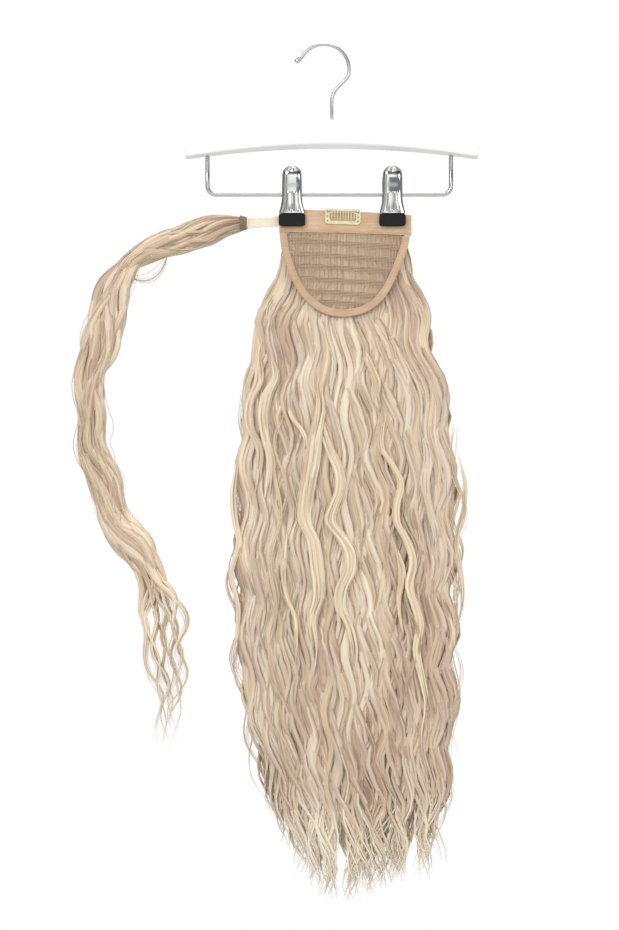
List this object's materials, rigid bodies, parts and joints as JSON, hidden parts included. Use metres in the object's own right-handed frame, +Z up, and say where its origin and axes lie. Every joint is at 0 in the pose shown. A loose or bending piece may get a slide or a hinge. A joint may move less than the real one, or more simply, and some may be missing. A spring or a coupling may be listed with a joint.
{
  "type": "ponytail hairpiece on a clip hanger",
  "caption": "Long wavy clip-in ponytail hairpiece with a satin band, D-shaped net base, hinged snap comb and a loose wrap strand, clipped to a small chrome-hooked hanger.",
  "frame": {"origin": "inner crest of the hanger's hook, where it hangs on a rail", "axes": "+X to the viewer's right along the hanger, +Y away from the viewer towards the hair's back, +Z up"},
  "size_m": [0.4046, 0.0513, 0.8495],
  "materials": {
    "chrome": "polished",
    "white_moulding": "gloss",
    "black_rubber": "satin",
    "peach_satin": "satin weave",
    "cream_strap": "satin weave",
    "beige_net": "open mesh",
    "cream_enamel": "enamel",
    "blonde_hair": "hair fibre",
    "root_hair": "hair fibre"
  },
  "bodies": {
    "hairpiece on hanger": {"hook": "chrome", "hanger_body": "white_moulding", "hanger_bar": "chrome", "clip_left_front_jaw": "chrome", "clip_left_front_pad": "black_rubber", "clip_left_rear_jaw": "chrome", "clip_left_rear_pad": "black_rubber", "clip_left_spring": "chrome", "clip_right_front_jaw": "chrome", "clip_right_front_pad": "black_rubber", "clip_right_rear_jaw": "chrome", "clip_right_rear_pad": "black_rubber", "clip_right_spring": "chrome", "top_band": "peach_satin", "net_panel": "beige_net", "net_binding": "peach_satin", "weft_row_1": "root_hair", "weft_row_2": "root_hair", "weft_row_3": "root_hair", "weft_row_4": "root_hair", "weft_row_5": "root_hair", "weft_row_6": "root_hair", "snap_frame": "cream_enamel", "wrap_strap": "cream_strap", "wrap_root": "root_hair", "wrap_lock": "blonde_hair", "hair_fall": "blonde_hair"},
    "comb": {"snap_comb": "cream_enamel"}
  },
  "joints": [
    {"name": "comb_hinge", "type": "hinge", "parent": "hairpiece on hanger", "child": "comb", "pos_m": [0.01911, -0.00315, -0.165], "axis": [-0.9994, 0, 0.0349], "range_deg": [0, 45]}
  ]
}
